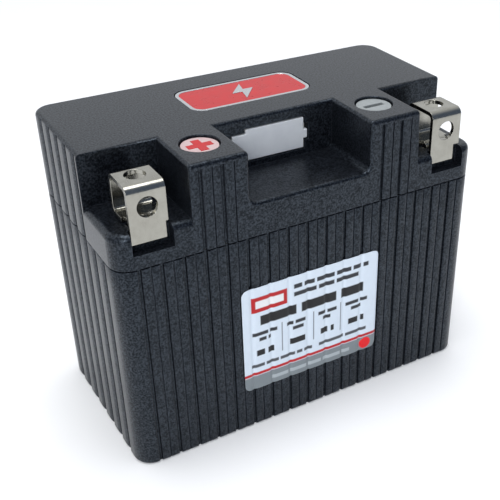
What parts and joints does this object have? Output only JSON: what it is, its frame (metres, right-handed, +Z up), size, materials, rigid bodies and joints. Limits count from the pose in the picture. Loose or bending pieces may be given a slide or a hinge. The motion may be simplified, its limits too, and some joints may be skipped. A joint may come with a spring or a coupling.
{
  "type": "motorcycle battery",
  "caption": "Ribbed black box battery with a stepped cover, folded strap terminals in open-front recesses and a removable balance-port cap.",
  "frame": {"origin": "bottom centre of the case", "axes": "+X along the long side towards the negative terminal, +Y from the terminal side to the back, +Z up"},
  "size_m": [0.113, 0.058, 0.089],
  "materials": {
    "abs_black": "fine-grained moulded ABS",
    "seal_black": "cured black sealing resin",
    "label_film": "satin polyester label film",
    "bright_plastic": "silver-coloured moulded plastic",
    "red_plastic": "glossy red",
    "marker_white": "off-white moulded plastic",
    "marker_grey": "light grey moulded plastic",
    "nickel": "nickel-plated, satin",
    "white_nylon": "white nylon",
    "milky_nylon": "milky nylon",
    "pouch_foil": "laminated foil pouch",
    "aluminium_lug": "rolled aluminium",
    "copper": "rolled copper",
    "foam": "closed-cell foam",
    "glass_board": "glass-fibre board",
    "green_board": "coated circuit board",
    "chip_black": "moulded component package",
    "lead_black": "silicone insulation",
    "lead_red": "silicone insulation"
  },
  "bodies": {
    "battery": {"case": "abs_black", "cover": "abs_black", "seam_seal": "seal_black", "tail_seals": "seal_black", "front_label": "label_film", "rear_label": "label_film", "emblem_plate": "bright_plastic", "emblem_bolt": "bright_plastic", "emblem_face": "red_plastic", "plus_sign": "red_plastic", "positive_marker": "marker_white", "negative_marker": "marker_grey", "positive_terminal": "nickel", "negative_terminal": "nickel", "tail_rivets": "nickel", "port_pins": "nickel", "tab_board_screws": "nickel", "balance_board_screws": "nickel", "series_links": "nickel", "port_socket": "white_nylon", "board_posts": "white_nylon", "cell_1": "pouch_foil", "cell_2": "pouch_foil", "cell_3": "pouch_foil", "cell_4": "pouch_foil", "positive_lugs": "aluminium_lug", "negative_lugs": "copper", "positive_strap": "copper", "negative_strap": "copper", "cell_pads": "foam", "end_pads": "foam", "base_pad": "foam", "tab_board": "glass_board", "balance_board": "green_board", "board_chips": "chip_black", "board_resistors": "chip_black", "balance_leads": "lead_black", "sense_leads": "lead_red"},
    "port_cap": {"port_cap": "milky_nylon"}
  },
  "joints": [
    {"name": "cap_pull", "type": "slide", "parent": "battery", "child": "port_cap", "axis": [0, -1, 0], "range_m": [0, 0.035]}
  ]
}
